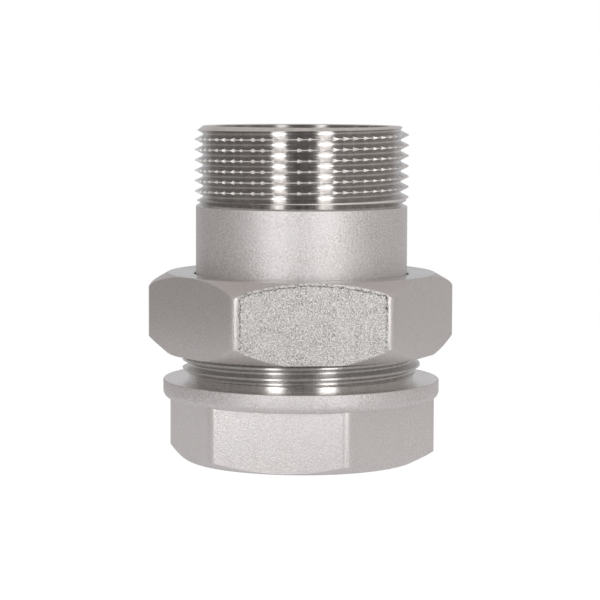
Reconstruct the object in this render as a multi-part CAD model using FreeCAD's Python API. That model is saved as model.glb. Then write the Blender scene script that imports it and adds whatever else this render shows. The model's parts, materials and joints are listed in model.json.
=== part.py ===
import FreeCAD
import Part
import math
import os

# Straight pipe union: a female body, a union nut, a male tailpiece and its sealing ring.
# Lengths are in millimetres and angles in degrees. The pipe axis is Z and the body stands on Z = 0.

# Pipe thread, the same size at both ends
pipe_thread_diameter = 47.8
thread_pitch = 2.309
thread_flank_angle = 27.5
male_thread_depth = 1.65
male_root_flat = 0.34
female_thread_depth = 1.48

# Hexagon of the female body
body_hexagon_wall = 2.6
body_hexagon_height = 13.8
body_corner_radius = 2.4
body_end_rim = 2.1
body_chamfer_angle = 27.0
female_thread_length = 15.5
female_thread_entry = 0.3

# Flange between the hexagon and the union thread
flange_margin = 0.4
flange_thickness = 4.2
flange_lower_radius = 1.6
flange_upper_edge = 0.3

# Union thread on the female body
union_thread_step = 2.8
union_groove_depth = 1.48
union_root_flat = 0.3
union_first_groove = 3.88
union_relief_depth = 1.48
union_relief_width = 0.9
union_thread_lead = 0.8
neck_height = 6.1

# Union nut
nut_height = 17.7
nut_wall = 3.2
nut_web = 3.5
nut_hexagon_turn = 15.6
nut_corner_radius = 2.1
nut_upper_chamfer_angle = 30.0
nut_lower_chamfer_angle = 42.0
nut_lower_chamfer_margin = 0.4
nut_crown_radius = 3.5
nut_edge_break = 0.4

# Tailpiece
barrel_length = 15.0
barrel_relief = 0.25
male_thread_length = 17.7
male_bevel_width = 1.8
male_bevel_height = 1.45
male_first_root = 1.29
male_runout_depth = 1.4
collar_step = 1.6
collar_thickness = 4.2
bore_edge_break = 0.5

# Conical joint with its sealing ring
seat_wall = 2.4
seat_angle = 20.0
seat_floor_gap = 0.6
nose_shoulder = 1.75
nose_lip = 1.65
nose_wall = 1.3
seal_section = 2.0
seal_groove_margin = 0.25

# Clearances
turning_clearance = 0.05
nut_hole_clearance = 0.25
seal_clearance = 0.06

# Radii that follow from the sizes above
pipe_radius = pipe_thread_diameter / 2
barrel_radius = pipe_radius - barrel_relief
female_bore_radius = pipe_radius - female_thread_depth
body_flat_radius = pipe_radius + body_hexagon_wall
body_corner_distance = body_flat_radius / math.cos(math.radians(30))
flange_radius = body_corner_distance + flange_margin
union_radius = pipe_radius + union_thread_step
nut_bore_radius = union_radius + turning_clearance
nut_hole_radius = pipe_radius + nut_hole_clearance
nut_flat_radius = nut_bore_radius + nut_wall
nut_corner_distance = nut_flat_radius / math.cos(math.radians(30))
collar_radius = pipe_radius + collar_step
seat_radius = union_radius - seat_wall

# Heights that follow from the sizes above
seal_groove_width = seal_section + 2 * seal_groove_margin
nose_length = nose_shoulder + seal_groove_width + nose_lip
flange_top = body_hexagon_height + flange_thickness
nut_bottom = flange_top + neck_height
nut_top = nut_bottom + nut_height
web_bottom = nut_top - nut_web
collar_top = web_bottom - turning_clearance
collar_bottom = collar_top - collar_thickness
body_top = collar_bottom - turning_clearance
nose_bottom = collar_bottom - nose_length
seat_bottom = nose_bottom - seat_floor_gap
barrel_top = nut_top + barrel_length
overall_height = barrel_top + male_thread_length

# The barrel ends on the lower flank of the groove where the male thread runs out
flank_slope = math.tan(math.radians(thread_flank_angle))
runout_height = barrel_top + (male_runout_depth - barrel_relief) * flank_slope

# The sealing ring lies between the seat cone and the floor of its groove
seat_slope = math.tan(math.radians(seat_angle))
seal_height = collar_bottom - nose_shoulder - seal_groove_width / 2
seat_radius_at_seal = seat_radius - (body_top - seal_height) * seat_slope
seal_to_seat = (seal_section / 2 + seal_clearance) / math.cos(math.radians(seat_angle))
seal_radius = seat_radius_at_seal - seal_to_seat
seal_floor_radius = seal_radius - seal_section / 2 - seal_clearance
bore_radius = seal_floor_radius - nose_wall

# How far cutting shapes reach past the surface they cut
overrun = 1.0


def point(radius, height):
    return FreeCAD.Vector(radius, 0, height)


def line(start, end):
    return Part.makeLine(point(*start), point(*end))


def arc(start, middle, end):
    return Part.Arc(point(*start), point(*middle), point(*end)).toShape()


def polygon(corners):
    """Edges of a closed outline through (radius, height) corners."""
    return [line(start, end) for start, end in zip(corners, corners[1:] + corners[:1])]


def turned(edges):
    """Solid made by a full turn about Z of a closed outline."""
    face = Part.Face(Part.Wire(edges))
    return face.revolve(FreeCAD.Vector(0, 0, 0), FreeCAD.Vector(0, 0, 1), 360)


def hexagon_prism(corner_distance, corner_radius, bottom, top, turn):
    """Hexagonal bar with rounded corners, one flat facing -Y before its turn about Z."""
    corners = []
    for number in range(6):
        angle = math.radians(turn + 60 * number)
        corners.append(FreeCAD.Vector(math.cos(angle), math.sin(angle), 0) * corner_distance)
    outline = Part.makePolygon(corners + corners[:1])
    bar = Part.Face(outline).extrude(FreeCAD.Vector(0, 0, top - bottom))
    bar.translate(FreeCAD.Vector(0, 0, bottom))
    upright = [edge for edge in bar.Edges if edge.BoundBox.ZLength > (top - bottom) / 2]
    return bar.makeFillet(corner_radius, upright)


def thread_groove(outer_radius, depth, height, root_flat=0):
    """Ring that cuts one V groove of the thread into a turned wall."""
    root_radius = outer_radius - depth
    mouth_radius = outer_radius + overrun
    half_mouth = root_flat / 2 + (depth + overrun) * flank_slope
    corners = [(mouth_radius, height - half_mouth), (root_radius, height - root_flat / 2)]
    if root_flat:
        corners.append((root_radius, height + root_flat / 2))
    corners.append((mouth_radius, height + half_mouth))
    return turned(polygon(corners))


def body_hexagon():
    """The wrench hexagon, with its corners chamfered towards the end face."""
    rim_radius = pipe_radius + body_end_rim
    corner_reach = body_corner_distance + overrun
    chamfer_rise = (corner_reach - rim_radius) * math.tan(math.radians(body_chamfer_angle))
    top = body_hexagon_height + flange_thickness / 2
    bar = hexagon_prism(body_corner_distance, body_corner_radius, 0, top, 0)
    envelope = turned(polygon([
        (0, 0),
        (rim_radius, 0),
        (corner_reach, chamfer_rise),
        (corner_reach, top),
        (0, top),
    ]))
    return bar.common(envelope)


def body_flange():
    """The round flange, with a full radius under its rim and a small break above."""
    round_radius = flange_radius - flange_lower_radius
    round_height = body_hexagon_height + flange_lower_radius
    diagonal = flange_lower_radius * math.sqrt(0.5)
    rim_bottom = (round_radius, body_hexagon_height)
    rim_middle = (round_radius + diagonal, round_height - diagonal)
    rim_side = (flange_radius, round_height)
    side_top = (flange_radius, flange_top - flange_upper_edge)
    face_edge = (flange_radius - flange_upper_edge, flange_top)
    return turned([
        line((0, body_hexagon_height), rim_bottom),
        arc(rim_bottom, rim_middle, rim_side),
        line(rim_side, side_top),
        line(side_top, face_edge),
        line(face_edge, (0, flange_top)),
        line((0, flange_top), (0, body_hexagon_height)),
    ])


def body_union_end():
    """The neck with its tool relief and the union thread above it."""
    relief_radius = union_radius - union_relief_depth
    relief_top = flange_top + union_relief_width
    neck = turned(polygon([
        (0, body_hexagon_height),
        (relief_radius, body_hexagon_height),
        (relief_radius, relief_top),
        (union_radius, relief_top + union_relief_depth),
        (union_radius, body_top - union_thread_lead),
        (union_radius - union_thread_lead, body_top),
        (0, body_top),
    ]))
    height = flange_top + union_first_groove
    while height < body_top - union_thread_lead:
        neck = neck.cut(thread_groove(union_radius, union_groove_depth, height, union_root_flat))
        height += thread_pitch
    return neck


def body_waterway():
    """The female thread's bore, the straight waterway and the conical seat, as one cutter."""
    entry_radius = pipe_radius + female_thread_entry
    entry_depth = entry_radius - female_bore_radius
    runout_top = female_thread_length + female_bore_radius - bore_radius
    seat_bottom_radius = seat_radius - (body_top - seat_bottom) * seat_slope
    return turned(polygon([
        (0, -overrun),
        (entry_radius + overrun, -overrun),
        (female_bore_radius, entry_depth),
        (female_bore_radius, female_thread_length),
        (bore_radius, runout_top),
        (bore_radius, seat_bottom),
        (seat_bottom_radius, seat_bottom),
        (seat_radius + overrun * seat_slope, body_top + overrun),
        (0, body_top + overrun),
    ]))


def female_body():
    outside = body_hexagon().fuse(body_flange()).fuse(body_union_end())
    return outside.cut(body_waterway()).removeSplitter()


def nut_envelope():
    """Turned shape that chamfers the nut's hexagon and crowns its upper corners."""
    lower_radius = nut_flat_radius + nut_lower_chamfer_margin
    lower_rise = (nut_corner_distance - lower_radius) * math.tan(math.radians(nut_lower_chamfer_angle))
    upper_drop = (nut_corner_distance - nut_flat_radius) * math.tan(math.radians(nut_upper_chamfer_angle))
    crown_angle = math.radians(90 - nut_upper_chamfer_angle)
    crown_center_radius = nut_corner_distance - nut_crown_radius
    crown_end_height = nut_top - upper_drop - nut_crown_radius * math.tan(crown_angle / 2)

    def on_crown(angle):
        radius = crown_center_radius + nut_crown_radius * math.cos(angle)
        return radius, crown_end_height + nut_crown_radius * math.sin(angle)

    crown_start = on_crown(crown_angle)
    crown_end = on_crown(0)
    lower_edge = (nut_corner_distance, nut_bottom + lower_rise)
    return turned([
        line((0, nut_bottom), (lower_radius, nut_bottom)),
        line((lower_radius, nut_bottom), lower_edge),
        line(lower_edge, crown_end),
        arc(crown_end, on_crown(crown_angle / 2), crown_start),
        line(crown_start, (nut_flat_radius, nut_top)),
        line((nut_flat_radius, nut_top), (0, nut_top)),
        line((0, nut_top), (0, nut_bottom)),
    ])


def union_nut():
    bar = hexagon_prism(nut_corner_distance, nut_corner_radius, nut_bottom, nut_top, nut_hexagon_turn)
    cutter_flare = nut_edge_break + overrun
    cavity = turned(polygon([
        (0, nut_bottom - overrun),
        (nut_bore_radius + cutter_flare, nut_bottom - overrun),
        (nut_bore_radius, nut_bottom + nut_edge_break),
        (nut_bore_radius, web_bottom),
        (nut_hole_radius, web_bottom),
        (nut_hole_radius, nut_top - nut_edge_break),
        (nut_hole_radius + cutter_flare, nut_top + overrun),
        (0, nut_top + overrun),
    ]))
    return bar.common(nut_envelope()).cut(cavity).removeSplitter()


def tailpiece_blank():
    """The turned tube with its barrel, collar and conical nose, before any groove."""
    cone_gap = turning_clearance / math.cos(math.radians(seat_angle))
    nose_top_radius = seat_radius + (collar_bottom - body_top) * seat_slope - cone_gap
    nose_end_radius = nose_top_radius - nose_length * seat_slope
    return turned(polygon([
        (bore_radius, nose_bottom),
        (nose_end_radius, nose_bottom),
        (nose_top_radius, collar_bottom),
        (collar_radius, collar_bottom),
        (collar_radius, collar_top),
        (barrel_radius, collar_top),
        (barrel_radius, runout_height),
        (pipe_radius, runout_height),
        (pipe_radius, overall_height - male_bevel_height),
        (pipe_radius - male_bevel_width, overall_height),
        (bore_radius + bore_edge_break, overall_height),
        (bore_radius, overall_height - bore_edge_break),
    ]))


def tailpiece():
    blank = tailpiece_blank()
    blank = blank.cut(thread_groove(pipe_radius, male_runout_depth, runout_height))
    height = overall_height - male_first_root
    while height > runout_height + thread_pitch / 2:
        blank = blank.cut(thread_groove(pipe_radius, male_thread_depth, height, male_root_flat))
        height -= thread_pitch
    groove_bottom = seal_height - seal_groove_width / 2
    groove_top = seal_height + seal_groove_width / 2
    seal_groove = turned(polygon([
        (seal_floor_radius, groove_bottom),
        (seat_radius + overrun, groove_bottom),
        (seat_radius + overrun, groove_top),
        (seal_floor_radius, groove_top),
    ]))
    return blank.cut(seal_groove).removeSplitter()


def seal_ring():
    return Part.makeTorus(seal_radius, seal_section / 2, FreeCAD.Vector(0, 0, seal_height))


def save(node, shape):
    shape.exportStep("parts/" + node + ".step")
    box = shape.BoundBox
    print(node, "solids", len(shape.Solids), "valid", shape.isValid(), "faces", len(shape.Faces))
    print("  volume", round(shape.Volume, 1), "height", round(box.ZMin, 2), "to", round(box.ZMax, 2))


os.makedirs("parts", exist_ok=True)
save("female_body", female_body())
save("union_nut", union_nut())
save("tailpiece", tailpiece())
save("seal_ring", seal_ring())
print("nut bottom", nut_bottom, "nut top", nut_top, "body top", body_top, "bore radius", bore_radius)
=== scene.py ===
import json
import math
import random

import bmesh
import bpy
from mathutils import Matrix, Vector


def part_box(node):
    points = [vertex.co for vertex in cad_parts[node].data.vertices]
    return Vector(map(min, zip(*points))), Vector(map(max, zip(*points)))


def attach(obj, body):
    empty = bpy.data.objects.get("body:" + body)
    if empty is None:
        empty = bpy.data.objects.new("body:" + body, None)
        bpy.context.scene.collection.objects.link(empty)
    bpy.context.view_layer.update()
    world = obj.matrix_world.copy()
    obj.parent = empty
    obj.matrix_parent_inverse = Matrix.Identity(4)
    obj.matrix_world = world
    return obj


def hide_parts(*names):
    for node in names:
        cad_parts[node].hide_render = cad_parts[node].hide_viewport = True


# Straight pipe union
# Each piece is modelled in millimetres about the pipe axis and shrunk to metres when it is done

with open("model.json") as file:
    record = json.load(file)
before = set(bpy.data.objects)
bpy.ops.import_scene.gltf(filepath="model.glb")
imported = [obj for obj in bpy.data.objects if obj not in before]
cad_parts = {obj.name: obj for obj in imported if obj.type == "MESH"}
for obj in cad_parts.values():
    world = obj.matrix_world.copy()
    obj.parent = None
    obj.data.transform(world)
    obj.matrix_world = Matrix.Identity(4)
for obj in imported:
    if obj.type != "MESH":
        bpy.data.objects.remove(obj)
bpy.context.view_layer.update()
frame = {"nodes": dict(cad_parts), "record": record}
print("frame loaded")

mm = 0.001
random.seed(58)
mounts = {mount["name"]: mount for mount in frame["record"]["mounts"]}


def cadCorners(node):
    low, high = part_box(node)
    return low / mm, high / mm


bodyHigh = cadCorners("female_body")[1]
nutLow, nutHigh = cadCorners("union_nut")
tailLow, tailHigh = cadCorners("tailpiece")
sealLow, sealHigh = cadCorners("seal_ring")
pipeRadius = mounts["male_thread"]["dims"]["r_mm"]
pipeBore = mounts["female_thread"]["dims"]["r_mm"]

# The camera stands a little to the right of the body's front flat and a little above the top
shot = {
    "azimuth": 10.6,
    "elevation": 5.4,
    "distance": 0.5315,
    "fieldOfView": 14.46,
    "aimHeight": 0.03546,
    "aimLeft": 0.00029,
    "roll": 0.2,
    "clipStart": 0.01,
}

# Thread form that every screwed surface shares
threadForm = {
    "pitch": 2.309,
    "flankAngle": 27.5,
    "rootRound": 0.04,
    "crestRound": 0.045,
    "crestRoundAngle": 59.0,
    "segments": 180,
}

# What all pieces share
overrun = 1.0  # how far cutting shapes reach past the surface they cut
pointGap = 0.0005  # points closer than this are one point
seamGap = 0.002  # the same after a cut
surfaceSlack = 0.02  # a face lies on a surface if its centre is this close to it
cornerSegments = 10
smoothAngle = 25.0

flankSlope = math.tan(math.radians(threadForm["flankAngle"]))
frontAngle = math.radians(shot["azimuth"] - 90)  # where the camera sees the middle of the threads


# Tools of the bench

def onlySelect(piece):
    bpy.ops.object.select_all(action="DESELECT")
    piece.select_set(True)
    bpy.context.view_layer.objects.active = piece


def applyPlace(piece):
    onlySelect(piece)
    bpy.ops.object.transform_apply(location=True, rotation=True, scale=True)


def drawOutline(name, corners):
    # One vertex is walked from corner to corner in the XZ plane, back to its start
    bpy.ops.object.select_all(action="DESELECT")
    bpy.ops.mesh.primitive_plane_add(size=1, location=(corners[0][0], 0, corners[0][1]))
    piece = bpy.context.object
    piece.name = name
    bpy.ops.object.mode_set(mode="EDIT")
    bpy.ops.mesh.select_mode(type="VERT")
    bpy.ops.mesh.select_all(action="SELECT")
    bpy.ops.mesh.merge(type="CENTER")
    for start, end in zip(corners, corners[1:] + corners[:1]):
        step = (end[0] - start[0], 0, end[1] - start[1])
        bpy.ops.mesh.extrude_region_move(TRANSFORM_OT_translate={"value": step})
    bpy.ops.mesh.select_all(action="SELECT")
    bpy.ops.mesh.remove_doubles(threshold=pointGap)
    bpy.ops.object.mode_set(mode="OBJECT")
    applyPlace(piece)
    return piece


def cleanMesh(piece, threshold=pointGap):
    onlySelect(piece)
    bpy.ops.object.mode_set(mode="EDIT")
    bpy.ops.mesh.select_all(action="SELECT")
    bpy.ops.mesh.remove_doubles(threshold=threshold)
    bpy.ops.mesh.delete_loose(use_verts=True, use_edges=True, use_faces=False)
    bpy.ops.mesh.select_all(action="SELECT")
    bpy.ops.mesh.normals_make_consistent(inside=False)
    bpy.ops.mesh.select_all(action="DESELECT")
    bpy.ops.object.mode_set(mode="OBJECT")


def turn(name, corners):
    # A closed (radius, height) outline spun once about the axis
    piece = drawOutline(name, corners)
    onlySelect(piece)
    bpy.ops.object.mode_set(mode="EDIT")
    bpy.ops.mesh.select_all(action="SELECT")
    bpy.ops.mesh.spin(
        steps=threadForm["segments"], angle=2 * math.pi, center=(0, 0, 0), axis=(0, 0, 1)
    )
    bpy.ops.object.mode_set(mode="OBJECT")
    cleanMesh(piece)
    return piece


def coil(name, corners, turns, startAngle):
    # A closed outline driven up a right-handed helix, with both ends capped
    piece = drawOutline(name, corners)
    onlySelect(piece)
    helix = piece.modifiers.new("helix", "SCREW")
    helix.angle = 2 * math.pi * turns
    helix.screw_offset = threadForm["pitch"] * turns
    helix.steps = helix.render_steps = round(threadForm["segments"] * turns)
    bpy.ops.object.modifier_apply(modifier=helix.name)
    bpy.ops.object.mode_set(mode="EDIT")
    bpy.ops.mesh.select_mode(type="EDGE")
    bpy.ops.mesh.select_all(action="SELECT")
    bpy.ops.mesh.fill_holes(sides=0)
    bpy.ops.mesh.select_mode(type="VERT")
    bpy.ops.object.mode_set(mode="OBJECT")
    piece.rotation_euler.z = startAngle
    applyPlace(piece)
    cleanMesh(piece)
    return piece


def combine(piece, tool, operation):
    onlySelect(piece)
    join = piece.modifiers.new(operation.lower(), "BOOLEAN")
    join.operation = operation
    join.solver = "EXACT"
    join.object = tool
    bpy.ops.object.modifier_apply(modifier=join.name)
    bpy.data.objects.remove(tool)
    return piece


def selectEdges(piece, rule):
    # Leaves the piece in edit mode with the edges picked that the rule accepts
    onlySelect(piece)
    bpy.ops.object.mode_set(mode="EDIT")
    bpy.ops.mesh.select_mode(type="EDGE")
    bpy.ops.mesh.select_all(action="DESELECT")
    mesh = bmesh.from_edit_mesh(piece.data)
    for edge in mesh.edges:
        edge.select = rule(edge)
    mesh.select_flush_mode()
    bmesh.update_edit_mesh(piece.data)


def selectFaces(piece, rule):
    onlySelect(piece)
    bpy.ops.object.mode_set(mode="EDIT")
    bpy.ops.mesh.select_mode(type="FACE")
    bpy.ops.mesh.select_all(action="DESELECT")
    mesh = bmesh.from_edit_mesh(piece.data)
    for face in mesh.faces:
        face.select = rule(face)
    mesh.select_flush_mode()
    bmesh.update_edit_mesh(piece.data)


def paint(piece, finishes):
    # finishes: (material, rule) pairs, where a later rule wins over an earlier one
    for number, (material, rule) in enumerate(finishes):
        piece.data.materials.append(material)
        for face in piece.data.polygons:
            if rule(face):
                face.material_index = number


def finishPiece(piece, node, body):
    piece.scale = (mm, mm, mm)
    applyPlace(piece)
    bpy.ops.object.shade_smooth_by_angle(angle=math.radians(smoothAngle))
    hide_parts(node)
    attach(piece, body)
    triangles = sum(len(face.vertices) - 2 for face in piece.data.polygons)
    print("finished", piece.name, triangles, "triangles")


def radiusOf(point):
    return math.hypot(point[0], point[1])


def around(azimuth, elevation, distance):
    # Azimuth 0 is the front, at -Y, and grows towards +X
    a = math.radians(azimuth)
    e = math.radians(elevation)
    return Vector((math.sin(a) * math.cos(e), -math.cos(a) * math.cos(e), math.sin(e))) * distance


def hexagonBar(name, flatRadius, cornerRadius, bottom, top, turnDegrees):
    # Six-sided bar with one flat facing -Y before its turn, and its upright edges rounded
    bpy.ops.object.select_all(action="DESELECT")
    cornerDistance = flatRadius / math.cos(math.radians(30))
    bpy.ops.mesh.primitive_cylinder_add(
        vertices=6, radius=cornerDistance, depth=top - bottom, location=(0, 0, (top + bottom) / 2)
    )
    bar = bpy.context.object
    bar.name = name
    bar.rotation_euler.z = math.radians(30 + turnDegrees)
    applyPlace(bar)
    selectEdges(bar, lambda edge: abs(edge.verts[0].co.z - edge.verts[1].co.z) > (top - bottom) / 2)
    bpy.ops.mesh.bevel(
        offset=cornerRadius * math.tan(math.radians(30)), segments=cornerSegments, affect="EDGES"
    )
    bpy.ops.object.mode_set(mode="OBJECT")
    return bar


def threadCutter(name, crestRadius, depth, rootHalf, rootHeight, lowest, highest):
    # Cuts an outside thread whose root passes rootHeight at the front, from lowest to highest
    form = threadForm
    rootRadius = crestRadius - depth
    lowerHalf = rootHalf + form["rootRound"] * math.tan(math.radians(form["crestRoundAngle"]))
    upperHalf = rootHalf + (depth - form["crestRound"]) * flankSlope
    mouthHalf = upperHalf + form["crestRound"] * math.tan(math.radians(form["crestRoundAngle"]))
    half = [
        (rootRadius, rootHalf),
        (rootRadius + form["rootRound"], lowerHalf),
        (crestRadius - form["crestRound"], upperHalf),
        (crestRadius, mouthHalf),
        (crestRadius + overrun, mouthHalf),
    ]
    turnsUp = (rootHeight - lowest) / form["pitch"]
    startAngle = frontAngle - 2 * math.pi * turnsUp
    corners = [(radius, lowest - width) for radius, width in reversed(half)]
    corners += [(radius, lowest + width) for radius, width in half]
    return coil(name, corners, (highest - lowest) / form["pitch"], startAngle)


# Tailpiece: the threaded tube, its collar and its conical nose

tail = {
    "barrelLength": 15.0,
    "barrelRelief": 0.25,
    "barrelBreak": 0.12,
    "collarThickness": 4.2,
    "collarBreak": 0.35,
    "runningGap": 0.05,
    "sealGap": 0.06,
    "sealGrooveMargin": 0.25,
    "noseWall": 1.3,
    "noseTopRadius": 24.265,
    "seatAngle": 20.0,
    "threadDepth": 1.75,
    "rootHalf": 0.17,
    "firstRoot": 1.29,
    "runoutDepth": 1.4,
    "bevelWidth": 1.8,
    "bevelHeight": 1.45,
    "edgeBreak": 0.15,
    "cutterStart": 0.73,
    "cutterReach": 2.0,
    "notches": 58,
    "notchBarRadius": 1.0,
    "notchDepth": 0.62,
    "notchSpread": 0.14,
    "notchWander": 0.08,
    "notchPhase": 2.7,
    "notchTwist": 15.0,
    "notchLean": 0.5,
    "notchBottom": 59.3,
    "notchTop": 73.3,
}
barrelRadius = pipeRadius - tail["barrelRelief"]
barrelTop = nutHigh.z + tail["barrelLength"]
bevelBottom = tailHigh.z - tail["bevelHeight"]


def tailOutline():
    collarRadius = tailHigh.x
    collarBottom = bodyHigh.z + tail["runningGap"]
    collarTop = collarBottom + tail["collarThickness"]
    sealMiddle = (sealLow.z + sealHigh.z) / 2
    sealSection = sealHigh.z - sealLow.z
    grooveFloor = sealHigh.x - sealSection - tail["sealGap"]
    grooveHalf = sealSection / 2 + tail["sealGrooveMargin"]
    boreRadius = grooveFloor - tail["noseWall"]
    slope = math.tan(math.radians(tail["seatAngle"]))
    noseTop = tail["noseTopRadius"]
    rimRadius = pipeRadius - tail["bevelWidth"]
    runoutBottom = barrelTop - tail["barrelBreak"]
    rootHeight = barrelTop + (tail["runoutDepth"] - tail["barrelRelief"]) * flankSlope
    return [
        (boreRadius, tailLow.z),
        (noseTop - (collarBottom - tailLow.z) * slope, tailLow.z),
        (noseTop - (collarBottom - sealMiddle + grooveHalf) * slope, sealMiddle - grooveHalf),
        (grooveFloor, sealMiddle - grooveHalf),
        (grooveFloor, sealMiddle + grooveHalf),
        (noseTop - (collarBottom - sealMiddle - grooveHalf) * slope, sealMiddle + grooveHalf),
        (noseTop, collarBottom),
        (collarRadius - tail["collarBreak"], collarBottom),
        (collarRadius, collarBottom + tail["collarBreak"]),
        (collarRadius, collarTop - tail["collarBreak"]),
        (collarRadius - tail["collarBreak"], collarTop),
        (barrelRadius, collarTop),
        (barrelRadius, runoutBottom),
        (barrelRadius - tail["barrelBreak"], barrelTop),
        (pipeRadius - tail["runoutDepth"], rootHeight),
        (pipeRadius, rootHeight + tail["runoutDepth"] * flankSlope),
        (pipeRadius, bevelBottom),
        (rimRadius, tailHigh.z),
        (boreRadius + tail["edgeBreak"], tailHigh.z),
        (boreRadius, tailHigh.z - tail["edgeBreak"]),
    ]


def notchBars():
    # Square bars on edge, one for each notch, that nick the crests in upright rows
    height = tail["notchTop"] - tail["notchBottom"]
    middle = (tail["notchTop"] + tail["notchBottom"]) / 2
    barRadius = tail["notchBarRadius"]
    bpy.ops.object.select_all(action="DESELECT")
    bpy.ops.mesh.primitive_cylinder_add(vertices=4, radius=barRadius, depth=height)
    firstBar = bpy.context.object
    firstBar.rotation_euler.z = math.radians(tail["notchTwist"])
    applyPlace(firstBar)
    firstBar.rotation_euler.x = math.radians(-tail["notchLean"])
    applyPlace(firstBar)
    bars = []
    for number in range(tail["notches"]):
        bar = firstBar.copy()
        bar.data = firstBar.data.copy()
        bpy.context.collection.objects.link(bar)
        depth = tail["notchDepth"] + random.uniform(-1, 1) * tail["notchSpread"]
        wander = random.uniform(-tail["notchWander"], tail["notchWander"])
        angle = 2 * math.pi * (number + wander) / tail["notches"]
        angle += math.radians(tail["notchPhase"])
        distance = pipeRadius + barRadius - depth
        bar.location = (distance * math.sin(angle), -distance * math.cos(angle), middle)
        bar.rotation_euler.z = angle
        bars.append(bar)
    bpy.data.objects.remove(firstBar)
    bpy.ops.object.select_all(action="DESELECT")
    for bar in bars:
        bar.select_set(True)
    bpy.context.view_layer.objects.active = bars[0]
    bpy.ops.object.join()
    joined = bpy.context.object
    applyPlace(joined)
    return joined


def makeTailpiece():
    piece = turn("threadedTailpiece", tailOutline())
    cutter = threadCutter(
        "maleThreadCutter", pipeRadius, tail["threadDepth"], tail["rootHalf"],
        tailHigh.z - tail["firstRoot"], barrelTop + tail["cutterStart"], tailHigh.z + tail["cutterReach"],
    )
    combine(piece, cutter, "DIFFERENCE")
    combine(piece, notchBars(), "DIFFERENCE")
    cleanMesh(piece, seamGap)
    return piece


# Female body: the hexagon, its flange, and the union thread over the conical seat

body = {
    "hexagonWall": 2.6,
    "hexagonHeight": 13.8,
    "cornerRadius": 2.4,
    "endRim": 2.1,
    "chamferAngle": 27.0,
    "flangeThickness": 4.2,
    "flangeLowerRadius": 1.6,
    "flangeUpperEdge": 0.3,
    "unionRadius": 26.7,
    "reliefDepth": 1.48,
    "reliefWidth": 0.9,
    "grooveDepth": 1.48,
    "grooveRootHalf": 0.15,
    "firstGroove": 3.88,
    "hiddenTurns": 1.5,
    "cutterReach": 1.5,
    "guardInner": 20.0,
    "guardOuter": 40.0,
    "guardHeight": 4.0,
    "guardMargin": 0.03,
    "threadLead": 0.8,
    "seatWall": 2.4,
    "seatAngle": 20.0,
    "seatBottom": 27.55,
    "boreRadius": 19.74,
    "femaleLength": 15.5,
    "femaleEntry": 0.3,
    "femaleMajor": 23.95,
    "femaleRootHalf": 0.12,
    "femaleStart": -1.5,
    "femalePhase": 0.3,
    "femaleOverlap": 0.6,
    "seamGap": 0.015,
}
flangeTop = body["hexagonHeight"] + body["flangeThickness"]
unionRootHeight = flangeTop + body["firstGroove"]


def arcPoints(centre, radius, first, last, count):
    points = []
    for step in range(count + 1):
        angle = math.radians(first + (last - first) * step / count)
        points.append((centre[0] + radius * math.cos(angle), centre[1] + radius * math.sin(angle)))
    return points


def bodyTurnedOutline():
    flangeBottom = body["hexagonHeight"]
    flangeRadius = bodyHigh.x
    lower = body["flangeLowerRadius"]
    upper = body["flangeUpperEdge"]
    neck = body["unionRadius"] - body["reliefDepth"]
    union = body["unionRadius"]
    reliefTop = flangeTop + body["reliefWidth"]
    corners = [(0, flangeBottom)]
    corners += arcPoints((flangeRadius - lower, flangeBottom + lower), lower, -90, 0, count=8)
    corners += arcPoints((flangeRadius - upper, flangeTop - upper), upper, 0, 90, count=4)
    corners += [
        (neck, flangeTop),
        (neck, reliefTop),
        (union, reliefTop + body["reliefDepth"]),
        (union, bodyHigh.z - body["threadLead"]),
        (union - body["threadLead"], bodyHigh.z),
        (0, bodyHigh.z),
    ]
    return corners


def waterwayOutline():
    seatTop = body["unionRadius"] - body["seatWall"]
    slope = math.tan(math.radians(body["seatAngle"]))
    entry = pipeRadius + body["femaleEntry"]
    runoutTop = body["femaleLength"] + pipeBore - body["boreRadius"]
    return [
        (0, -overrun),
        (entry + overrun, -overrun),
        (pipeBore, entry - pipeBore),
        (pipeBore, body["femaleLength"]),
        (body["boreRadius"], runoutTop),
        (body["boreRadius"], body["seatBottom"]),
        (seatTop - (bodyHigh.z - body["seatBottom"]) * slope, body["seatBottom"]),
        (seatTop + overrun * slope, bodyHigh.z + overrun),
        (0, bodyHigh.z + overrun),
    ]


def femaleCutter():
    # The V of the inside thread opens towards the axis
    half = (body["femaleMajor"] - pipeBore) * flankSlope
    lowest = body["femaleStart"]
    innerRadius = pipeBore - body["femaleOverlap"]
    turns = (body["femaleLength"] - lowest) / threadForm["pitch"]
    corners = [
        (innerRadius, lowest - half - body["femaleRootHalf"]),
        (pipeBore, lowest - half - body["femaleRootHalf"]),
        (body["femaleMajor"], lowest - body["femaleRootHalf"]),
        (body["femaleMajor"], lowest + body["femaleRootHalf"]),
        (pipeBore, lowest + half + body["femaleRootHalf"]),
        (innerRadius, lowest + half + body["femaleRootHalf"]),
    ]
    return coil("femaleThreadCutter", corners, turns, body["femalePhase"])


def bodyChamferOutline(top):
    flatRadius = pipeRadius + body["hexagonWall"]
    rimRadius = pipeRadius + body["endRim"]
    reach = flatRadius / math.cos(math.radians(30)) + overrun
    rise = (reach - rimRadius) * math.tan(math.radians(body["chamferAngle"]))
    return [
        (0, -overrun),
        (rimRadius, -overrun),
        (rimRadius, 0),
        (reach, rise),
        (reach, top),
        (0, top),
    ]


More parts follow.
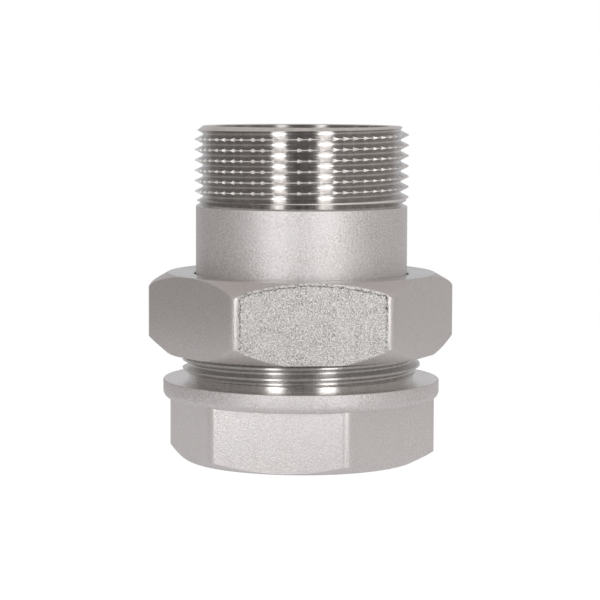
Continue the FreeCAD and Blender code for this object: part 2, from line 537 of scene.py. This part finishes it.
def unionCutter():
    # Starts hidden at the back, and a ring keeps it off the flange
    cutter = threadCutter(
        "unionThreadCutter", body["unionRadius"], body["grooveDepth"], body["grooveRootHalf"],
        unionRootHeight, unionRootHeight - body["hiddenTurns"] * threadForm["pitch"],
        bodyHigh.z + body["cutterReach"],
    )
    guardTop = flangeTop + body["guardMargin"]
    guardBottom = guardTop - body["guardHeight"]
    guard = turn("flangeGuard", [
        (body["guardInner"], guardBottom),
        (body["guardOuter"], guardBottom),
        (body["guardOuter"], guardTop),
        (body["guardInner"], guardTop),
    ])
    return combine(cutter, guard, "DIFFERENCE")


def makeBody():
    flatRadius = pipeRadius + body["hexagonWall"]
    top = body["hexagonHeight"] + body["flangeThickness"] / 2
    piece = hexagonBar("hexagonBody", flatRadius, body["cornerRadius"], 0, top, 0)
    combine(piece, turn("bodyChamfer", bodyChamferOutline(bodyHigh.z)), "INTERSECT")
    cleanMesh(piece, seamGap)
    combine(piece, turn("flangeAndNeck", bodyTurnedOutline()), "UNION")
    combine(piece, turn("waterway", waterwayOutline()), "DIFFERENCE")
    combine(piece, unionCutter(), "DIFFERENCE")
    combine(piece, femaleCutter(), "DIFFERENCE")
    cleanMesh(piece, body["seamGap"])
    return piece


# Union nut: a chamfered hexagon whose inner thread draws the collar down on its seat

nut = {
    "wall": 3.2,
    "web": 3.5,
    "turn": 15.6,
    "cornerRadius": 2.1,
    "upperChamfer": 30.0,
    "lowerChamfer": 42.0,
    "lowerMargin": 0.4,
    "crownRadius": 3.5,
    "edgeBreak": 0.4,
    "runningGap": 0.05,
    "holeGap": 0.25,
    "upperSoftness": 0.45,
    "lowerSoftness": 0.2,
    "rimWidth": 0.32,
    "topRim": 0.5,
    "wallWidth": 0.33,
    "panelDepth": 0.25,
    "edgeStep": 0.55,
    "edgeJitter": 0.2,
    "ridgeGap": 0.06,
    "tipGap": 0.35,
    "ridgeBottom": 1.35,
    "ridgeLength": 8.4,
    "ridgeOverlap": 0.4,
    "sharpAngle": 0.4,
    "seamGap": 0.01,
}
nutFlatRadius = body["unionRadius"] + nut["runningGap"] + nut["wall"]
nutCornerDistance = nutFlatRadius / math.cos(math.radians(30))
nutBore = body["unionRadius"] + nut["runningGap"]


def nutCrown():
    # Centre of the arc that rounds the upper chamfer into the hexagon's corners
    drop = (nutCornerDistance - nutFlatRadius) * math.tan(math.radians(nut["upperChamfer"]))
    halfTurn = math.radians(90 - nut["upperChamfer"]) / 2
    centreHeight = nutHigh.z - drop - nut["crownRadius"] * math.tan(halfTurn)
    return nutCornerDistance - nut["crownRadius"], centreHeight


def nutTopAt(radius):
    # Height of the chamfered and crowned top at a distance from the axis
    centre, crownEnd = nutCrown()
    slope = math.radians(nut["upperChamfer"])
    if radius < centre + nut["crownRadius"] * math.sin(slope):
        return nutHigh.z - (radius - nutFlatRadius) * math.tan(slope)
    return crownEnd + math.sqrt(nut["crownRadius"] ** 2 - (radius - centre) ** 2)


def nutEnvelope():
    lowerRadius = nutFlatRadius + nut["lowerMargin"]
    rise = (nutCornerDistance - lowerRadius) * math.tan(math.radians(nut["lowerChamfer"]))
    corners = [
        (0, nutLow.z - overrun),
        (lowerRadius, nutLow.z - overrun),
        (lowerRadius, nutLow.z),
        (nutCornerDistance, nutLow.z + rise),
    ]
    corners += arcPoints(nutCrown(), nut["crownRadius"], 0, 90 - nut["upperChamfer"], count=6)
    return corners + [
        (nutFlatRadius, nutHigh.z),
        (nutFlatRadius, nutHigh.z + overrun),
        (0, nutHigh.z + overrun),
    ]


def nutCavity():
    hole = pipeRadius + nut["holeGap"]
    flare = nut["edgeBreak"] + overrun
    webBottom = nutHigh.z - nut["web"]
    return [
        (0, nutLow.z - overrun),
        (nutBore + flare, nutLow.z - overrun),
        (nutBore, nutLow.z + nut["edgeBreak"]),
        (nutBore, webBottom),
        (hole, webBottom),
        (hole, nutHigh.z - nut["edgeBreak"]),
        (hole + flare, nutHigh.z + overrun),
        (0, nutHigh.z + overrun),
    ]


def nutRidge():
    # The nut's thread stands in the body's groove, clear of both flanks
    root = body["unionRadius"] - body["grooveDepth"]
    lowest = nutLow.z + nut["ridgeBottom"]
    ridgeHalf = body["grooveRootHalf"] + (nutBore - root) * flankSlope - nut["ridgeGap"]
    tipHalf = body["grooveRootHalf"] + nut["tipGap"] * flankSlope - nut["ridgeGap"]
    half = [
        (nutBore + nut["ridgeOverlap"], ridgeHalf),
        (nutBore, ridgeHalf),
        (root + nut["tipGap"], tipHalf),
    ]
    corners = [(radius, lowest - width) for radius, width in half]
    corners += [(radius, lowest + width) for radius, width in reversed(half)]
    startAngle = frontAngle + 2 * math.pi * (lowest - unionRootHeight) / threadForm["pitch"]
    return coil("nutRidge", corners, nut["ridgeLength"] / threadForm["pitch"], startAngle)


def panelOutline():
    # The coarse flat, ragged at its sides and top, and open at its lower edge
    step = nut["edgeStep"]
    sharpHalf = nutFlatRadius * math.tan(math.radians(30))
    margin = nut["rimWidth"] + nut["wallWidth"]
    half = sharpHalf - nut["cornerRadius"] * math.tan(math.radians(30)) - margin

    def topAt(aside):
        return nutTopAt(math.hypot(nutFlatRadius, aside)) - nut["topRim"] - nut["wallWidth"]

    def ragged(aside, height):
        sideways = random.uniform(-1, 1) * nut["edgeJitter"]
        upwards = random.uniform(-1, 1) * nut["edgeJitter"]
        return aside + sideways, height + upwards

    rows = int((topAt(half) - nutLow.z) / step)
    columns = int(2 * half / step)
    heights = [nutLow.z + number * step for number in range(rows)]
    asides = [-half + (number + 0.5) * 2 * half / columns for number in range(columns)]
    corners = [(-half, nutLow.z - overrun)]
    corners += [ragged(-half, height) for height in heights]
    corners += [ragged(aside, topAt(aside)) for aside in asides]
    corners += [ragged(half, height) for height in reversed(heights)]
    return corners + [(half, nutLow.z - overrun)]


def panelCutter():
    # Its floor is the ragged outline, and its walls slope outwards
    corners = panelOutline()
    width = corners[-1][0] - corners[0][0]
    height = max(corner[1] for corner in corners) - corners[0][1]
    cutter = drawOutline("panelCutter", corners)
    bpy.ops.object.mode_set(mode="EDIT")
    bpy.ops.mesh.select_all(action="SELECT")
    bpy.ops.mesh.edge_face_add()
    bpy.ops.mesh.extrude_region_move(TRANSFORM_OT_translate={"value": (0, -nut["panelDepth"], 0)})
    bpy.ops.transform.resize(
        value=(1 + 2 * nut["wallWidth"] / width, 1, 1 + 2 * nut["wallWidth"] / height),
        center_override=(0, -nut["panelDepth"], corners[0][1] + height / 2),
    )
    bpy.ops.mesh.extrude_region_move(TRANSFORM_OT_translate={"value": (0, -overrun, 0)})
    bpy.ops.object.mode_set(mode="OBJECT")
    cutter.location.y = nut["panelDepth"] - nutFlatRadius
    applyPlace(cutter)
    cutter.rotation_euler.z = math.radians(nut["turn"])
    applyPlace(cutter)
    cleanMesh(cutter)
    return cutter


def softenEdges(piece, lowest, highest, width):
    # Rounds the sharp edges between two heights
    def sharp(edge):
        height = (edge.verts[0].co.z + edge.verts[1].co.z) / 2
        between = len(edge.link_faces) == 2 and lowest < height < highest
        return between and edge.calc_face_angle() > nut["sharpAngle"]

    selectEdges(piece, sharp)
    bpy.ops.mesh.bevel(offset=width, segments=3, affect="EDGES", clamp_overlap=True)
    bpy.ops.object.mode_set(mode="OBJECT")


def makeNut():
    piece = hexagonBar("unionNut", nutFlatRadius, nut["cornerRadius"], nutLow.z, nutHigh.z, nut["turn"])
    combine(piece, turn("nutChamfers", nutEnvelope()), "INTERSECT")
    cleanMesh(piece, nut["seamGap"])
    middle = (nutLow.z + nutHigh.z) / 2
    softenEdges(piece, middle, nutHigh.z + overrun, nut["upperSoftness"])
    softenEdges(piece, nutLow.z - overrun, middle, nut["lowerSoftness"])
    cleanMesh(piece, seamGap)
    combine(piece, panelCutter(), "DIFFERENCE")
    combine(piece, turn("nutCavity", nutCavity()), "DIFFERENCE")
    combine(piece, nutRidge(), "UNION")
    cleanMesh(piece, seamGap)
    return piece


# Finishes

class Wire:
    # A node's output that can stand in a sum
    def __init__(self, shader, socket):
        self.shader = shader
        self.socket = socket

    def __add__(self, other):
        return self.shader.node("ShaderNodeMath", {"operation": "ADD"}, {0: self, 1: other})

    def __radd__(self, other):
        return self + other

    def __sub__(self, other):
        return self.shader.node("ShaderNodeMath", {"operation": "SUBTRACT"}, {0: self, 1: other})

    def __rsub__(self, other):
        return self.shader.node("ShaderNodeMath", {"operation": "SUBTRACT"}, {0: other, 1: self})

    def __mul__(self, other):
        return self.shader.node("ShaderNodeMath", {"operation": "MULTIPLY"}, {0: self, 1: other})

    def __rmul__(self, other):
        return self * other


class Shader:
    def __init__(self, tree):
        self.tree = tree
        tree.nodes.clear()

    def node(self, kind, settings=None, sockets=None, out=0):
        made = self.tree.nodes.new(kind)
        for name, value in (settings or {}).items():
            if name == "stops":
                ramp = made.color_ramp
                while len(ramp.elements) < len(value):
                    ramp.elements.new(1)
                for element, (position, level) in zip(ramp.elements, value):
                    element.position = position
                    element.color = (level, level, level, 1)
            else:
                setattr(made, name, value)
        for name, value in (sockets or {}).items():
            if isinstance(value, Wire):
                self.tree.links.new(value.socket, made.inputs[name])
            else:
                made.inputs[name].default_value = value
        return Wire(self, made.outputs[out]) if made.outputs else None

    def noise(self, place, size, detail=2.0, seed=0.0):
        # Grain about as large as size, in metres
        shifted = self.node("ShaderNodeVectorMath", {"operation": "ADD"}, {0: place, 1: (seed, seed, seed)})
        return self.node(
            "ShaderNodeTexNoise", {}, {"Vector": shifted, "Scale": 1 / size, "Detail": detail}
        )

    def ramp(self, factor, stops):
        return self.node("ShaderNodeValToRGB", {"stops": stops}, {0: factor})

    def mixColour(self, factor, first, second):
        return self.node(
            "ShaderNodeMix", {"data_type": "RGBA"}, {"Factor": factor, 6: first, 7: second}, 2
        )


def newMaterial(name):
    material = bpy.data.materials.new(name)
    material.use_nodes = True
    return material, Shader(material.node_tree)


def finishMaterial(shader, sockets):
    surface = shader.node("ShaderNodeBsdfPrincipled", {}, sockets)
    shader.node("ShaderNodeOutputMaterial", {}, {"Surface": surface})


def blastedNickel(name, look):
    material, shader = newMaterial(name)
    place = shader.node("ShaderNodeTexCoord", {}, {}, 3)
    grain = shader.noise(place, look["grain"], detail=3.0)
    speckle = shader.noise(place, look["grain"] * 0.8, seed=0.3)
    cloud = shader.noise(place, look["cloud"], seed=0.7)
    mottled = shader.ramp(speckle, [(0.5 - look["soft"], 0.0), (0.5 + look["soft"], 1.0)])
    shade = shader.mixColour(mottled, look["dark"], look["light"])
    tinted = shader.mixColour(shader.ramp(cloud, [(0.35, 0.0), (0.65, 1.0)]), shade, look["tint"])
    colour = shader.mixColour(look["tintShare"], shade, tinted)
    bump = shader.node(
        "ShaderNodeBump", {}, {"Strength": look["bump"], "Distance": look["grain"] * 0.25, "Height": grain}
    )
    finishMaterial(shader, {
        "Base Color": colour,
        "Metallic": look["metallic"],
        "Roughness": look["roughness"] + 0.15 * (speckle - 0.5),
        "Normal": bump,
    })
    return material


fineBlast = {
    "grain": 0.00038,
    "soft": 0.2,
    "cloud": 0.006,
    "dark": (0.66, 0.629, 0.619, 1),
    "light": (0.89, 0.859, 0.849, 1),
    "tint": (0.782, 0.741, 0.757, 1),
    "tintShare": 0.5,
    "bump": 0.8,
    "metallic": 0.9,
    "roughness": 0.38,
}

bodyBlast = dict(
    fineBlast, dark=(0.73, 0.70, 0.695, 1), light=(0.98, 0.95, 0.946, 1), tint=(0.85, 0.81, 0.825, 1),
    roughness=0.38,
)

barrelBlast = dict(
    fineBlast, grain=0.00042, dark=(0.64, 0.615, 0.612, 1), light=(1.0, 0.97, 0.97, 1),
    tint=(0.86, 0.83, 0.84, 1), bump=1.0, roughness=0.5,
)

coarseBlast = {
    "grain": 0.00033,
    "soft": 0.16,
    "cloud": 0.004,
    "dark": (0.31, 0.30, 0.295, 1),
    "light": (0.98, 0.96, 0.95, 1),
    "tint": (0.88, 0.86, 0.85, 1),
    "tintShare": 0.3,
    "bump": 1.0,
    "metallic": 0.8,
    "roughness": 0.5,
}


def turnedNickel(name, look):
    # Bright metal with fine turning lines round the axis, which blur what it mirrors only across them
    material, shader = newMaterial(name)
    place = shader.node("ShaderNodeTexCoord", {}, {}, 3)
    x = shader.node("ShaderNodeSeparateXYZ", {}, {0: place}, 0)
    y = shader.node("ShaderNodeSeparateXYZ", {}, {0: place}, 1)
    z = shader.node("ShaderNodeSeparateXYZ", {}, {0: place}, 2)
    radius = shader.node("ShaderNodeMath", {"operation": "SQRT"}, {0: x * x + y * y})
    along = shader.node("ShaderNodeCombineXYZ", {}, {0: x * 0.02, 1: y * 0.02, 2: z + radius * 1.7})
    lines = shader.noise(along, look["line"])
    smudge = shader.noise(place, look["smudge"], detail=3.0, seed=0.4)
    colour = shader.mixColour(shader.ramp(smudge, [(0.3, 0.0), (0.7, 1.0)]), look["dark"], look["light"])
    bump = shader.node(
        "ShaderNodeBump", {}, {"Strength": look["bump"], "Distance": look["line"] * 0.2, "Height": lines}
    )
    finishMaterial(shader, {
        "Base Color": colour,
        "Metallic": look["metallic"],
        "Roughness": look["roughness"] + 0.06 * (smudge - 0.5) + 0.06 * (lines - 0.5),
        "Anisotropic": look["anisotropy"],
        "Anisotropic Rotation": 0.25,
        "Normal": bump,
    })
    return material


brightThread = {
    "line": 0.00012,
    "smudge": 0.0012,
    "dark": (0.60, 0.585, 0.575, 1),
    "light": (0.72, 0.705, 0.695, 1),
    "bump": 0.08,
    "metallic": 1.0,
    "roughness": 0.18,
    "anisotropy": 0.6,
}

unionTurned = dict(
    brightThread, dark=(0.58, 0.565, 0.555, 1), light=(0.67, 0.656, 0.646, 1), roughness=0.28, anisotropy=0.85
)

turnedFace = dict(
    brightThread, dark=(0.85, 0.825, 0.81, 1), light=(0.97, 0.945, 0.93, 1), roughness=0.36, anisotropy=0.5
)

flangeFace = dict(turnedFace, roughness=0.28)

boredFace = dict(turnedFace, metallic=0.4, roughness=0.45, anisotropy=0.7)

# Painted shade in the sloping wall round the coarse flat, the worn rim round it, and lighter finishes that
# paint highlights on the thread crests and along the flat's top rim
panelWallShade = {
    "grain": 0.0005,
    "soft": 0.09,
    "cloud": 0.002,
    "dark": (0.08, 0.08, 0.08, 1),
    "light": (0.85, 0.83, 0.82, 1),
    "tint": (0.40, 0.39, 0.38, 1),
    "tintShare": 0.3,
    "bump": 1.0,
    "metallic": 0.7,
    "roughness": 0.6,
}

# Thread crests and nick walls: a rougher finish, painted lighter than the thread as a painted highlight
crestFinishAndHighlight = {
    "grain": 0.0003,
    "soft": 0.2,
    "cloud": 0.002,
    "dark": (0.80, 0.77, 0.75, 1),
    "light": (0.95, 0.93, 0.91, 1),
    "tint": (0.88, 0.86, 0.85, 1),
    "tintShare": 0.4,
    "bump": 0.3,
    "metallic": 0.6,
    "roughness": 0.4,
}

wornRim = dict(crestFinishAndHighlight, grain=0.0007, soft=0.1, dark=(0.37, 0.355, 0.35, 1), light=(0.84, 0.82, 0.80, 1))

# The rim's upper bevel: the worn rim, painted lighter and less metallic than the side rims as a painted
# highlight along the top edge
topRim = dict(wornRim, grain=0.0005, dark=(0.62, 0.605, 0.60, 1), light=(0.98, 0.96, 0.94, 1), metallic=0.25)


rubber = {
    "bloom": 0.0015,
    "pores": 0.00025,
    "dark": (0.012, 0.012, 0.013, 1),
    "light": (0.035, 0.034, 0.034, 1),
    "bump": 0.2,
    "roughness": 0.45,
}


def blackRubber(name, look):
    material, shader = newMaterial(name)
    place = shader.node("ShaderNodeTexCoord", {}, {}, 3)
    bloom = shader.noise(place, look["bloom"], detail=3.0)
    pores = shader.noise(place, look["pores"], seed=0.2)
    colour = shader.mixColour(bloom, look["dark"], look["light"])
    bump = shader.node("ShaderNodeBump", {}, {"Strength": look["bump"], "Distance": 0.00004, "Height": pores})
    finishMaterial(shader, {
        "Base Color": colour,
        "Roughness": look["roughness"] + 0.2 * (bloom - 0.5),
        "Normal": bump,
    })
    return material


# Dressing

brightNickel = turnedNickel("brightThreadNickel", brightThread)
barrelNickel = blastedNickel("barrelBlastedNickel", barrelBlast)


def dressTailpiece():
    piece = makeTailpiece()

    def onBarrel(face):
        return abs(radiusOf(face.center) - barrelRadius) < surfaceSlack and face.center.z < barrelTop - 0.1

    def onCrest(face):
        threaded = barrelTop + 0.5 < face.center.z < bevelBottom + 0.1
        outermost = radiusOf(face.center) > pipeRadius - threadForm["crestRound"] * 1.2
        forwards = Vector((-face.center.y, face.center.x, 0)).normalized()
        notched = abs(face.normal.dot(forwards)) > 0.3
        return threaded and (outermost or notched)

    def onBevel(face):
        return face.center.z > bevelBottom + 0.1 and face.normal.z > 0.6

    def inBore(face):
        return radiusOf(face.center) < pipeRadius - threadForm["pitch"] and face.center.z > barrelTop

    paint(piece, [
        (brightNickel, lambda face: True),
        (barrelNickel, onBarrel),
        (turnedNickel("turnedFaceNickel", turnedFace), onBevel),
        (turnedNickel("boredFaceNickel", boredFace), inBore),
        # crests and nick walls are painted lighter as a painted highlight
        (blastedNickel("wornCrestNickel", crestFinishAndHighlight), onCrest),
    ])
    finishPiece(piece, "tailpiece", "tailpiece")


def dressBody():
    piece = makeBody()

    def onFlange(face):
        return body["hexagonHeight"] - 0.01 < face.center.z and radiusOf(face.center) > body["unionRadius"]

    def insideBody(face):
        return radiusOf(face.center) < pipeRadius + body["femaleEntry"] + 0.05

    def onNeck(face):
        return face.center.z > flangeTop + 0.01 and radiusOf(face.center) > pipeRadius

    def onFlangeTop(face):
        return abs(face.center.z - flangeTop) < surfaceSlack and face.normal.z > 0.9

    paint(piece, [
        (blastedNickel("forgedBlastedNickel", bodyBlast), lambda face: True),
        (barrelNickel, onFlange),
        (brightNickel, insideBody),
        (turnedNickel("unionThreadNickel", unionTurned), onNeck),
        (turnedNickel("flangeFaceNickel", flangeFace), onFlangeTop),
    ])
    finishPiece(piece, "female_body", "female_body")


def dressNut():
    piece = makeNut()
    facing = around(nut["turn"], 0, 1)  # out of the coarse flat
    sideways = around(nut["turn"] + 90, 0, 1)
    flatHalf = (nutFlatRadius - nut["cornerRadius"]) * math.tan(math.radians(30)) - 0.02

    def depthOf(face):
        return nutFlatRadius - face.center.dot(facing)

    def withinFlat(face):
        return abs(face.center.dot(sideways)) < flatHalf

    def insideNut(face):
        return radiusOf(face.center) < nutBore + 0.3

    def onRim(face):
        return face.normal.dot(facing) > 0.999 and depthOf(face) < 0.01

    def onUpperRim(face):
        upperEdge = face.normal.dot(facing) > 0.7 and face.normal.z > 0.1 and depthOf(face) < 0.2
        return upperEdge and withinFlat(face)

    def onPanelWall(face):
        sloping = 0.4 < face.normal.dot(facing) < 0.985 and face.normal.z < 0.1
        return sloping and withinFlat(face) and 0.01 < depthOf(face) < nut["panelDepth"] - 0.01

    def onPanel(face):
        return face.normal.dot(facing) > 0.99 and abs(depthOf(face) - nut["panelDepth"]) < surfaceSlack

    paint(piece, [
        (blastedNickel("fineBlastedNickel", fineBlast), lambda face: True),
        (brightNickel, insideNut),
        (blastedNickel("wornRimNickel", wornRim), onRim),
        # painted highlight along the coarse flat's upper edge, over its worn rim
        (blastedNickel("upperRimNickel", topRim), onUpperRim),
        # the sloping recess wall is painted near black as painted shade
        (blastedNickel("panelWallNickel", panelWallShade), onPanelWall),
        (blastedNickel("coarseBlastedNickel", coarseBlast), onPanel),
    ])
    finishPiece(piece, "union_nut", "union_nut")


def dressSealRing():
    piece = frame["nodes"]["seal_ring"]
    piece.data.materials.clear()
    piece.data.materials.append(blackRubber("blackRubber", rubber))
    print("finished", piece.name)


# Stage

def aimAt(thing, target):
    direction = target - thing.location
    thing.rotation_mode = "QUATERNION"
    thing.rotation_quaternion = direction.to_track_quat("-Z", "Y")


def makeCamera():
    a = math.radians(shot["azimuth"])
    aside = Vector((-math.cos(a), -math.sin(a), 0)) * shot["aimLeft"]
    target = Vector((0, 0, shot["aimHeight"])) + aside
    lens = bpy.data.cameras.new("camera")
    lens.lens_unit = "FOV"
    lens.angle = math.radians(shot["fieldOfView"])
    lens.clip_start = shot["clipStart"]
    camera = bpy.data.objects.new("camera", lens)
    bpy.context.collection.objects.link(camera)
    camera.location = target + around(shot["azimuth"], shot["elevation"], shot["distance"])
    direction = target - camera.location
    camera.rotation_euler = direction.to_track_quat("-Z", "Y").to_euler()
    camera.rotation_euler.rotate_axis("Z", math.radians(shot["roll"]))
    bpy.context.scene.camera = camera


# The bands say where a part of the room's light starts and is full, along one direction
lighting = {
    "aimHeight": 0.04,
    "strips": [
        {"azimuth": -26.0, "width": 0.218, "radiance": 3.32},
        {"azimuth": 27.0, "width": 0.247, "radiance": 2.95},
    ],
    "stripElevation": 3.0,
    "stripDistance": 0.9,
    "stripHeight": 1.1,
    "ambient": 0.285,
    "overhead": 0.16,
    "overheadBand": (0.35, 0.8),
    "frontShade": 0.165,
    "frontBand": (0.90, 0.97),
    "rightLift": 0.14,
    "rightBand": (0.3, 0.9),
    "backLow": 0.29,
    "backLowBand": (-0.55, -0.9),
    "lowBand": (0.5, 0.3),
    "backHigh": 0.06,
    "backHighBand": (-0.2, -0.6),
    "roomColour": (1.0, 0.945, 0.91, 1),
    "backColour": (0.98, 0.98, 1.0, 1),
    "floorGlow": 0.84,
    "floorBounce": 0.32,
    "floorColour": (0.5, 0.5, 0.5, 1),
    "floorRadius": 0.17,
    "floorDrop": 0.0001,
}


def addLamp(name, azimuth, elevation, distance, width, height, power):
    light = bpy.data.lights.new(name, "AREA")
    light.shape = "RECTANGLE"
    light.size = width
    light.size_y = height
    light.energy = power
    lamp = bpy.data.objects.new(name, light)
    bpy.context.collection.objects.link(lamp)
    target = Vector((0, 0, lighting["aimHeight"]))
    lamp.location = target + around(azimuth, elevation, distance)
    aimAt(lamp, target)
    lamp.visible_camera = False


def makeLamps():
    for strip in lighting["strips"]:
        power = strip["radiance"] * math.pi * strip["width"] * lighting["stripHeight"]
        addLamp(
            "strip", shot["azimuth"] + strip["azimuth"], lighting["stripElevation"],
            lighting["stripDistance"], strip["width"], lighting["stripHeight"], power,
        )


def makeWorld():
    # A dim room, brighter overhead, to the right and behind, and white only where the camera looks
    world = bpy.data.worlds.new("studio")
    bpy.context.scene.world = world
    world.use_nodes = True
    shader = Shader(world.node_tree)
    direction = shader.node("ShaderNodeTexCoord", {}, {}, 0)

    def along(axis):
        return shader.node("ShaderNodeVectorMath", {"operation": "DOT_PRODUCT"}, {0: direction, 1: axis}, 1)

    def within(band, value):
        # Rises smoothly from 0 where the band starts to 1 where it is full
        first, last = lighting[band]
        return shader.node(
            "ShaderNodeMapRange", {"interpolation_type": "SMOOTHSTEP"}, {0: value, 1: first, 2: last}
        )

    facing = along(around(shot["azimuth"], 0, 1))
    sideways = along(around(shot["azimuth"] + 90, 0, 1))
    height = shader.node("ShaderNodeSeparateXYZ", {}, {0: direction}, 2)
    low = within("lowBand", height)
    behind = within("backLowBand", facing) * low
    strength = lighting["ambient"] + lighting["overhead"] * within("overheadBand", height)
    strength = strength - lighting["frontShade"] * within("frontBand", facing)
    strength = strength + lighting["rightLift"] * within("rightBand", sideways)
    strength = strength + lighting["backLow"] * behind
    strength = strength + lighting["backHigh"] * (within("backHighBand", facing) * (1 - low))
    colour = shader.mixColour(behind, lighting["roomColour"], lighting["backColour"])
    studio = shader.node("ShaderNodeBackground", {}, {"Color": colour, "Strength": strength})
    backdrop = shader.node("ShaderNodeBackground", {}, {"Color": (1, 1, 1, 1), "Strength": 1.0})
    seen = shader.node("ShaderNodeLightPath", {}, {}, 0)
    both = shader.node("ShaderNodeMixShader", {}, {0: seen, 1: studio, 2: backdrop})
    shader.node("ShaderNodeOutputWorld", {}, {"Surface": both})


def makeFloor():
    # A pale disc, clear from below, that glows as white as the backdrop where the camera looks
    bpy.ops.object.select_all(action="DESELECT")
    bpy.ops.mesh.primitive_circle_add(
        vertices=96, radius=lighting["floorRadius"], fill_type="NGON", location=(0, 0, -lighting["floorDrop"])
    )
    floor = bpy.context.object
    floor.name = "floor"
    material, shader = newMaterial("paleFloor")
    seen = shader.node("ShaderNodeLightPath", {}, {}, 0)
    under = shader.node("ShaderNodeNewGeometry", {}, {}, 6)
    lit = shader.node("ShaderNodeBsdfDiffuse", {}, {"Color": lighting["floorColour"]})
    strength = lighting["floorBounce"] + (lighting["floorGlow"] - lighting["floorBounce"]) * seen
    glow = shader.node("ShaderNodeEmission", {}, {"Color": (1, 1, 1, 1), "Strength": strength})
    both = shader.node("ShaderNodeAddShader", {}, {0: lit, 1: glow})
    clear = shader.node("ShaderNodeBsdfTransparent")
    oneSided = shader.node("ShaderNodeMixShader", {}, {0: under, 1: both, 2: clear})
    shader.node("ShaderNodeOutputMaterial", {}, {"Surface": oneSided})
    floor.data.materials.append(material)


makeCamera()
makeLamps()
makeWorld()
makeFloor()
print("stage ready")

dressTailpiece()
dressBody()
dressNut()
dressSealRing()

bpy.context.scene.view_settings.view_transform = "Standard"
